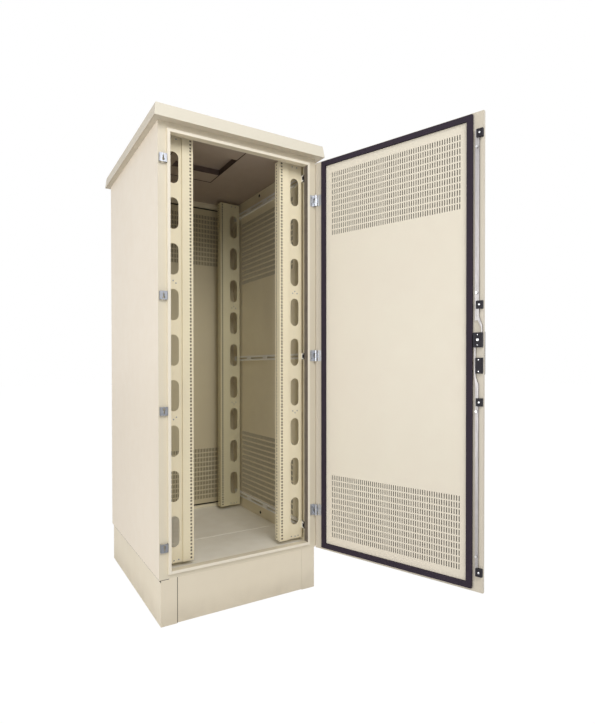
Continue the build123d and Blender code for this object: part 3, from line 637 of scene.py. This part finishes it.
rivet_marks = (
    (-0.013, 0.883), (0.0, 0.873), (0.013, 0.883), (-0.013, 1.473), (0.0, 1.483), (0.013, 1.473),
    (-0.022, 0.252), (0.0, 0.250), (0.018, 0.252), (-0.015, 2.103), (0.012, 2.103),
)


def fold_line(bends, thickness):
    """Arc length, outer bends and inner bends of a folded sheet.

    Each inner bend is the outer one plus the sum of the two side normals over one plus their
    product, times the thickness.
    """
    run = np.diff(bends, axis=0)
    length = np.hypot(run[:, 0], run[:, 1])
    normal = np.column_stack([-run[:, 1], run[:, 0]]) / length[:, None]
    before = np.vstack([normal[:1], normal])
    after = np.vstack([normal, normal[-1:]])
    mitre = (before + after) / (1.0 + np.sum(before * after, axis=1))[:, None]
    return np.concatenate([[0.0], np.cumsum(length)]), bends, bends + mitre * thickness


def plated_steel(name, colour, roughness, streak):
    """Zinc plate: a cloudy colour, with roughness and height from a noise drawn out along the height."""
    material = bpy.data.materials.new(name)
    material.use_nodes = True
    tree = material.node_tree
    shader = tree.nodes["Principled BSDF"]
    shader.inputs["Metallic"].default_value = 1.0
    place = tree.nodes.new("ShaderNodeTexCoord")
    drawn = tree.nodes.new("ShaderNodeMapping")
    drawn.inputs["Scale"].default_value = (260.0, 260.0, 22.0)
    tree.links.new(place.outputs["Object"], drawn.inputs["Vector"])
    brush = tree.nodes.new("ShaderNodeTexNoise")
    brush.inputs["Scale"].default_value = 1.0
    brush.inputs["Detail"].default_value = 5.0
    tree.links.new(drawn.outputs["Vector"], brush.inputs["Vector"])
    cloud = tree.nodes.new("ShaderNodeTexNoise")
    cloud.inputs["Scale"].default_value = 140.0
    cloud.inputs["Detail"].default_value = 3.0
    tree.links.new(place.outputs["Object"], cloud.inputs["Vector"])
    tone = tree.nodes.new("ShaderNodeMix")
    tone.data_type = "RGBA"
    tone.inputs["A"].default_value = (*[0.78 * c for c in colour], 1.0)
    tone.inputs["B"].default_value = (*colour, 1.0)
    tree.links.new(cloud.outputs["Fac"], tone.inputs["Factor"])
    tree.links.new(tone.outputs["Result"], shader.inputs["Base Color"])
    rough = tree.nodes.new("ShaderNodeMapRange")
    rough.inputs["From Min"].default_value = 0.3
    rough.inputs["From Max"].default_value = 0.7
    rough.inputs["To Min"].default_value = roughness - 0.08
    rough.inputs["To Max"].default_value = roughness + 0.10
    tree.links.new(brush.outputs["Fac"], rough.inputs["Value"])
    tree.links.new(rough.outputs["Result"], shader.inputs["Roughness"])
    bump = tree.nodes.new("ShaderNodeBump")
    bump.inputs["Strength"].default_value = streak
    bump.inputs["Distance"].default_value = 0.0002
    tree.links.new(brush.outputs["Fac"], bump.inputs["Height"])
    tree.links.new(bump.outputs["Normal"], shader.inputs["Normal"])
    return material


def button_screws(name, spots, material, body, slot):
    """Round-headed screws with a six-sided socket, as one mesh.

    Each spot is a point, the way the head looks, its radius and its height. The head is a stack of
    rings: the rim, its upper edge, two rings of the dome, then the socket's mouth and floor, where the
    socket's reach is its flat's distance over the cosine of the angle from the nearest flat.
    """
    count = 18
    socket_floor = 0.45
    around = np.linspace(0.0, 2.0 * math.pi, count, endpoint=False)
    flat = 0.42 / np.cos((around + math.pi / 6) % (math.pi / 3) - math.pi / 6)
    rings = ((1.0, 0.0), (1.0, 0.4), (0.82, 0.85), (0.6, 1.0), (flat, 1.0), (flat, socket_floor))
    head = [
        np.column_stack([reach * np.cos(around), reach * np.sin(around), np.full(count, rise)])
        for reach, rise in rings
    ]
    head = np.concatenate(head + [np.array([(0.0, 0.0, socket_floor), (0.0, 0.0, 0.0)])])
    step = np.arange(count)
    after = (step + 1) % count
    last = (len(rings) - 1) * count
    sides = [
        np.stack([low + step, low + after, low + count + after, low + count + step], 1)
        for low in range(0, last, count)
    ]
    caps = [
        np.stack([last + step, last + after, np.full(count, last + count)], 1),
        np.stack([after, step, np.full(count, last + count + 1)], 1),
    ]
    points, blocks = [], []
    for spot, look, radius, height in spots:
        look = np.array(look, float)
        side = np.cross((0.0, 0.0, 1.0), look)
        base = len(points) * len(head)
        points.append(
            np.array(spot) + radius * head[:, :1] * side + radius * head[:, 1:2] * np.cross(look, side)
            + height * head[:, 2:] * look)
        blocks += [(block + base).tolist() for block in sides + caps]
    faces = [face for block in blocks for face in block]
    sheet_object(name, np.concatenate(points), faces, material, body, slot)


post_rivets, hole_shade_bars = [], []
for side_name, mirror in (("left", -1.0), ("right", 1.0)):
    for row_name in ("front", "rear"):
        name = "%s_%s_post" % (row_name, side_name)
        low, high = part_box(name)
        face_y = low.y
        bends = np.array([
            (post_inner_x, face_y + return_deep), (post_inner_x, face_y), (post_step_x, face_y),
            (post_step_x, face_y + step_deep), (post_outer_x, face_y + step_deep),
            (post_outer_x, face_y + edge_deep),
        ])
        along, outer, inner = fold_line(bends, post_sheet)
        # hole rows: three to a unit, 15.875, 15.875 and 12.7 mm apart
        units = int((high.z - low.z) / rack_unit)
        first = (low.z + high.z - units * rack_unit) / 2
        rows_z = (first + rack_unit * np.arange(units)[:, None] + unit_rows[None]).ravel()
        # the cell of each hole is centred on its row, so its borders lie evenly about the row
        cell_edges = [[low.z, high.z], rows_z - cell_half_high, rows_z + cell_half_high]
        tall = np.unique(np.concatenate(cell_edges).round(6))
        strip_at = along[1] + strip_hole_at
        return_at = along[1] - return_hole_at
        across = np.array([
            0.0, return_at - cell_half, return_at + cell_half, along[1], strip_at - cell_half,
            strip_at + cell_half, along[2], along[3], along[4], along[5],
        ])
        middle = (tall[1:] + tall[:-1]) / 2
        is_row = np.min(np.abs(middle[:, None] - rows_z[None]), axis=1) < row_reach
        punched = np.zeros((len(across) - 1, len(tall) - 1), bool)
        punched[return_column] = is_row
        punched[strip_column] = is_row
        windows = []
        for z in window_first + window_pitch * np.arange(window_count):
            cell_low = int(np.argmin(np.abs(tall - (z - window_cell_half))))
            cell_high = int(np.argmin(np.abs(tall - (z + window_cell_half))))
            windows.append((window_column, cell_low, cell_high, (window_half, window_half_high, z)))
        sheet_points, sheet_faces = punched_sheet(
            across, tall, punched, square_ring, square_faces, hole_half, hole_half_high, windows)
        spot = [
            np.interp(sheet_points[:, 0], along, outer[:, k]) * (1.0 - sheet_points[:, 2])
            + np.interp(sheet_points[:, 0], along, inner[:, k]) * sheet_points[:, 2]
            for k in (0, 1)
        ]
        placed = np.column_stack([mirror * spot[0], spot[1], sheet_points[:, 1]])
        sheet_object(
            name + "_punched", placed, sheet_faces, post_lit_and_shaded_paint[row_name], "cabinet", "body_paint", name)
        # a dark bar behind each column of holes makes the holes look dark: painted shade
        for bar_x, bar_y in bar_sizes:
            hole_shade_bars.append((
                [mirror * x for x in bar_x],
                [face_y + y for y in bar_y],
                (low.z + bar_end_gap, high.z - bar_end_gap),
            ))
        # rivets in threes hold its brackets and its foot, and a pair its head
        for aside, up in rivet_marks:
            rivet_spot = (mirror * (rivet_x + aside), face_y + step_deep, up)
            post_rivets.append((rivet_spot, (0.0, -1.0, 0.0), rivet_radius, rivet_height))
zinc_plate = plated_steel("zinc_plate", (0.37, 0.385, 0.425), 0.42, 0.25)
button_screws("post_rivets", post_rivets, zinc_plate, "cabinet", "zinc_steel")
# dark bars behind the holes: painted shade
hole_shade_primer = painted_sheet("hole_shade_primer", (0.105, 0.080, 0.058), (0.080, 0.062, 0.046))
sheet_object("hole_shade_bars", *box_mesh(hole_shade_bars), hole_shade_primer, "cabinet", "body_paint")

# rubber plugs close the cable holes of the side liners
plug_x = 0.370
plug_radius, plug_height = 0.0090, 0.0020
plug_marks = ((0.527, 2.112), (0.519, 0.246))
plug_rubber = foam_rubber("plug_rubber", (0.016, 0.013, 0.014))
liner_plugs = [
    ((side * plug_x, deep, up), (-side, 0.0, 0.0), plug_radius, plug_height)
    for side in (-1.0, 1.0) for deep, up in plug_marks
]
button_screws("liner_plugs", liner_plugs, plug_rubber, "cabinet", "gasket_rubber")

rail_paint = painted_sheet("rail_paint", (0.940, 0.920, 0.870), paint_cream)
rail_levels = ("bottom", "middle", "top")
for side_name in ("left", "right"):
    for level_name in rail_levels:
        finish_node("%s_%s_rail" % (side_name, level_name), rail_paint)

# a rubber cap on the front end of each rail: rounded rings in the x-z plane, the front one smaller
cap_count = 16
cap_x = 0.36285
cap_half, cap_half_high = 0.0070, 0.0158
cap_power = 0.35
cap_rings = ((0.0355, 0.80), (0.0375, 1.0), (0.0495, 1.0))
cap_angles = np.linspace(0.0, 2.0 * math.pi, cap_count, endpoint=False)
cap_aside = np.sign(np.cos(cap_angles)) * np.abs(np.cos(cap_angles)) ** cap_power * cap_half
cap_rise = np.sign(np.sin(cap_angles)) * np.abs(np.sin(cap_angles)) ** cap_power * cap_half_high
cap_points, cap_faces = [], []
for side in (-1.0, 1.0):
    for level_name in rail_levels:
        rail_low, rail_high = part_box("right_%s_rail" % level_name)
        middle_z = (rail_low.z + rail_high.z) / 2
        first = len(cap_points)
        for cap_y, share in cap_rings:
            for aside, rise in zip(cap_aside * share, cap_rise * share):
                cap_points.append((side * cap_x + aside, cap_y, middle_z + rise))
        last = len(cap_points) - 1
        cap_faces.append(tuple(first + i for i in range(cap_count)))
        cap_faces.append(tuple(last - i for i in range(cap_count)))
        for ring in range(first, last - cap_count, cap_count):
            for i in range(cap_count):
                j = (i + 1) % cap_count
                cap_faces.append((ring + i, ring + cap_count + i, ring + cap_count + j, ring + j))
sheet_object("rail_caps", np.array(cap_points), cap_faces, plug_rubber, "cabinet", "gasket_rubber")


# Strikes and hinges
# Bright zinc-plated steel: pressed strike plates on the left jamb, and three pinned hinges
# on the right one.

hinge_plate = plated_steel("hinge_plate", (0.66, 0.68, 0.72), 0.36, 0.25)
for name in node:
    if name.startswith("hinge_"):
        finish_node(name, hinge_plate)
    elif name.startswith("strike_"):
        finish_node(name, zinc_plate)
hinge_heights = (0.390, 1.160, 1.930)
hinge_screw_x, hinge_screw_y, hinge_screw_off = 0.379, -0.003, 0.014
hinge_screw_radius, hinge_screw_height = 0.0036, 0.0018
hinge_screws = []
for middle_z in hinge_heights:
    for off in (-hinge_screw_off, hinge_screw_off):
        screw_spot = (hinge_screw_x, hinge_screw_y, middle_z + off)
        hinge_screws.append((screw_spot, (0.0, -1.0, 0.0), hinge_screw_radius, hinge_screw_height))
button_screws("hinge_screws", hinge_screws, zinc_plate, "cabinet", "zinc_steel")

# a narrow drip fold on the hinged side of the shell closes the view between it and the open door
bead_box = ((0.3990, 0.4040), (0.0008, 0.0034), (0.2040, 2.1160))
sheet_object("hinge_bead", *box_mesh([bead_box]), body_paint, "cabinet", "body_paint")


# Door
# A pressed tray with a flange all round, a vented inner panel lying on the flange, and a
# black foam rubber gasket stuck round the panel.

door_turn = math.radians(110.4)
pin_x, pin_y = 0.396, -0.014
pin_from_edge = 0.008
door_origin = np.array([
    pin_x + pin_from_edge * math.cos(door_turn), pin_y + pin_from_edge * math.sin(door_turn), 0.0,
])
door_along = np.array([-math.cos(door_turn), -math.sin(door_turn), 0.0])
door_inward = np.array([-math.sin(door_turn), math.cos(door_turn), 0.0])
door_up = np.array([0.0, 0.0, 1.0])


def on_door(along, inward, height):
    """A point of the open door: its hinged edge, plus the distance along it, inwards and up."""
    return (
        door_origin + np.multiply.outer(along, door_along) + np.multiply.outer(inward, door_inward)
        + np.multiply.outer(height, door_up)
    )


door_paint = painted_sheet("door_paint", (0.752, 0.694, 0.572), (0.730, 0.635, 0.545), drift=0.30)
# a darker copy of the door paint for the flange: painted shade
flange_shade_paint = painted_sheet("flange_shade_paint", (0.610, 0.552, 0.452), (0.560, 0.500, 0.410), drift=0.30)
tray_depth = -0.02


def faces_in(face):
    """Whether a face of the open door looks into the cabinet when the door is shut."""
    return np.dot(face.normal, door_inward) > facing


def in_tray(face):
    """Whether a face of the open door lies in the bottom of its tray, behind the flange."""
    return np.dot(np.array(face.center) - door_origin, door_inward) < tray_depth


# the tray behind the vented panel is painted in the dark foam finish, and the flange round it in a darker
# copy of the door paint: both painted shade
finish_node("door_skin", door_paint)
finish_faces("door_skin", shade_foam, lambda face: faces_in(face) and in_tray(face))
finish_faces("door_skin", flange_shade_paint, lambda face: faces_in(face) and not in_tray(face))

panel_near, panel_far = 0.0655, 0.7425
panel_sunk, panel_sheet = 0.0065, 0.0015
panel_low, panel_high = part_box("door_inner_panel")
door_span = [(0.0955, 0.7190)]
door_fields = [(0.2685, 0.5770), (1.7430, 2.0515)]
door_columns, door_rows = 60, 11
sheet_points, sheet_faces = vented_sheet(
    (panel_near, panel_far, panel_low.z, panel_high.z), door_span, door_columns, door_fields, door_rows)
placed = on_door(sheet_points[:, 0], -panel_sunk - panel_sheet * sheet_points[:, 2], sheet_points[:, 1])
sheet_object(
    "door_inner_panel_vented", placed, sheet_faces, door_paint, "door", "body_paint", "door_inner_panel")

gasket_foam = foam_rubber("gasket_foam", (0.023, 0.015, 0.026))
finish_node("door_gasket", gasket_foam)


# Lock gear
# A gear case on the free edge drives two flat rods through black guides. The rods carry
# keeper pins, and the lever handle with its plate is on the outer face.


def moulded_plastic(name, colour, roughness):
    """Black moulding: fine spark-eroded grain in the height, roughness that wanders a little."""
    material = bpy.data.materials.new(name)
    material.use_nodes = True
    tree = material.node_tree
    shader = tree.nodes["Principled BSDF"]
    shader.inputs["Specular IOR Level"].default_value = 0.25
    place = tree.nodes.new("ShaderNodeTexCoord")
    grain = tree.nodes.new("ShaderNodeTexNoise")
    grain.inputs["Scale"].default_value = 1500.0
    grain.inputs["Detail"].default_value = 2.0
    tree.links.new(place.outputs["Object"], grain.inputs["Vector"])
    cloud = tree.nodes.new("ShaderNodeTexNoise")
    cloud.inputs["Scale"].default_value = 60.0
    tree.links.new(place.outputs["Object"], cloud.inputs["Vector"])
    tone = tree.nodes.new("ShaderNodeMix")
    tone.data_type = "RGBA"
    tone.inputs["A"].default_value = (*[0.75 * c for c in colour], 1.0)
    tone.inputs["B"].default_value = (*[1.3 * c for c in colour], 1.0)
    tree.links.new(cloud.outputs["Fac"], tone.inputs["Factor"])
    tree.links.new(tone.outputs["Result"], shader.inputs["Base Color"])
    rough = tree.nodes.new("ShaderNodeMapRange")
    rough.inputs["To Min"].default_value = roughness - 0.10
    rough.inputs["To Max"].default_value = roughness + 0.12
    tree.links.new(cloud.outputs["Fac"], rough.inputs["Value"])
    tree.links.new(rough.outputs["Result"], shader.inputs["Roughness"])
    bump = tree.nodes.new("ShaderNodeBump")
    bump.inputs["Strength"].default_value = 0.2
    bump.inputs["Distance"].default_value = 0.0003
    tree.links.new(grain.outputs["Fac"], bump.inputs["Height"])
    tree.links.new(bump.outputs["Normal"], shader.inputs["Normal"])
    return material


black_moulding = moulded_plastic("black_moulding", (0.014, 0.012, 0.017), 0.55)
handle_coat = moulded_plastic("handle_coat", (0.018, 0.017, 0.019), 0.42)
rod_plate = plated_steel("rod_plate", (0.43, 0.41, 0.41), 0.50, 0.3)
# bare dark steel for the rods' cut edges, darkened further as painted shade
sheared_edge_and_shade = plated_steel("sheared_edge_and_shade", (0.13, 0.12, 0.11), 0.60, 0.3)
screw_plate = plated_steel("screw_plate", (0.80, 0.80, 0.82), 0.30, 0.1)
for name in node:
    if name.startswith("rod_guide") or name in ("lock_case", "handle_back_block"):
        finish_node(name, black_moulding)
    elif name in ("handle", "handle_escutcheon"):
        finish_node(name, handle_coat)
    elif name in ("upper_rod", "lower_rod"):
        finish_node(name, rod_plate)
    elif name.startswith("keeper_pin"):
        finish_node(name, screw_plate)

# the rods are cut from plated strip, so their long free edges are bare dark steel; the dark edge also stands
# in for the rod's shadow on the flange, as painted shade
edge_facing = 0.3
for name in ("upper_rod", "lower_rod"):
    finish_faces(name, sheared_edge_and_shade, lambda face: np.dot(face.normal, door_along) > edge_facing)

# bright screws in the middle of each guide, in the case and in the block below it: each group
# has its distance along the door and inwards, its radius and its heights
screw_groups = (
    (0.7945, 0.0060, 0.0042, (0.2815, 0.9615, 1.3500, 2.0300)),
    (0.7895, 0.0090, 0.0024, (1.1895, 1.2305)),
    (0.7935, 0.0090, 0.0028, (1.0845, 1.1305)),
)
gear_screw_height = 0.0022
gear_screws = [
    (on_door(along, inward, up), door_inward, radius, gear_screw_height)
    for along, inward, radius, heights in screw_groups for up in heights
]
button_screws("gear_screws", gear_screws, screw_plate, "door", "zinc_steel")
spindle_radius, spindle_height = 0.0058, 0.0026
spindle_end = (on_door(0.7895, 0.0090, 1.2100), door_inward, spindle_radius, spindle_height)
button_screws("spindle_end", [spindle_end], screw_plate, "door_handle", "zinc_steel")


# Floor, light and camera
# A pale floor, a wide soft key from the left, a fill high in front and a lamp behind on the
# right, with the camera where the photograph was taken from.

reach = 30.0
floor_mesh = bpy.data.meshes.new("studio_floor")
floor_mesh.from_pydata(
    [(-reach, -reach, 0), (reach, -reach, 0), (reach, reach, 0), (-reach, reach, 0)], [], [(0, 1, 2, 3)])
studio_floor = bpy.data.objects.new("studio_floor", floor_mesh)
bpy.context.scene.collection.objects.link(studio_floor)
floor_finish = bpy.data.materials.new("studio_floor")
floor_finish.use_nodes = True
floor_tree = floor_finish.node_tree
floor_shader = floor_tree.nodes["Principled BSDF"]
floor_shader.inputs["Base Color"].default_value = (0.80, 0.80, 0.80, 1.0)
floor_shader.inputs["Roughness"].default_value = 0.9
floor_shader.inputs["Specular IOR Level"].default_value = 0.1
ray = floor_tree.nodes.new("ShaderNodeLightPath")
glow = floor_tree.nodes.new("ShaderNodeEmission")
blend = floor_tree.nodes.new("ShaderNodeMixShader")
share = floor_tree.nodes.new("ShaderNodeMath")
share.operation = "MULTIPLY"
share.inputs[1].default_value = 0.98
glow.inputs["Strength"].default_value = 1.02
floor_tree.links.new(ray.outputs["Is Camera Ray"], share.inputs[0])
floor_tree.links.new(share.outputs["Value"], blend.inputs["Fac"])
floor_tree.links.new(floor_shader.outputs["BSDF"], blend.inputs[1])
floor_tree.links.new(glow.outputs["Emission"], blend.inputs[2])
floor_tree.links.new(blend.outputs["Shader"], floor_tree.nodes["Material Output"].inputs["Surface"])
floor_mesh.materials.append(floor_finish)
studio_floor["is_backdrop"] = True

world = bpy.data.worlds.new("studio_world")
bpy.context.scene.world = world
world.use_nodes = True
sky_tree = world.node_tree
sky = sky_tree.nodes["Background"]
sky.inputs["Color"].default_value = (1.0, 1.0, 1.0, 1.0)
sky_ray = sky_tree.nodes.new("ShaderNodeLightPath")
seen = sky_tree.nodes.new("ShaderNodeMath")
seen.operation = "MAXIMUM"
sky_tree.links.new(sky_ray.outputs["Is Camera Ray"], seen.inputs[0])
sky_tree.links.new(sky_ray.outputs["Is Glossy Ray"], seen.inputs[1])
level = sky_tree.nodes.new("ShaderNodeMapRange")
level.inputs["To Min"].default_value = 0.35
level.inputs["To Max"].default_value = 1.0
sky_tree.links.new(seen.outputs["Value"], level.inputs["Value"])
sky_tree.links.new(level.outputs["Result"], sky.inputs["Strength"])


def soft_lamp(name, place, aim, size, watts):
    """A square area lamp at a place, turned so that its face looks at the aim."""
    lamp = bpy.data.lights.new(name, "AREA")
    lamp.size = size
    lamp.energy = watts
    lamp_object = bpy.data.objects.new(name, lamp)
    bpy.context.scene.collection.objects.link(lamp_object)
    offset = np.array(aim) - np.array(place)
    flat = math.hypot(offset[0], offset[1])
    lamp_object.location = place
    tilt = math.pi / 2 + math.atan2(offset[2], flat)
    lamp_object.rotation_euler = (tilt, 0.0, -math.atan2(offset[0], offset[1]))


soft_lamp("key_left", (-5.0, -0.9, 0.9), (0.2, 0.1, 0.9), 3.5, 163.0)
soft_lamp("fill_front", (-0.3, -3.9, 4.0), (0.0, 0.4, 0.5), 2.6, 112.0)
soft_lamp("rim_rear", (4.4, 3.4, 2.6), (0.2, 0.3, 1.0), 3.0, 120.0)

eye = bpy.data.cameras.new("photo_camera")
eye.sensor_width = 36.0
eye.lens = 24.609
eye.shift_x = 0.03377
eye.shift_y = 0.01352
eye_object = bpy.data.objects.new("photo_camera", eye)
bpy.context.scene.collection.objects.link(eye_object)
eye_object.location = (-1.02470, -2.04400, 1.10230)
eye_turn = (90.0 - 0.5251, 0.0765, -30.0332)
eye_object.rotation_euler = [math.radians(angle) for angle in eye_turn]
bpy.context.scene.camera = eye_object
bpy.context.scene.view_settings.view_transform = "Standard"

low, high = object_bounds()
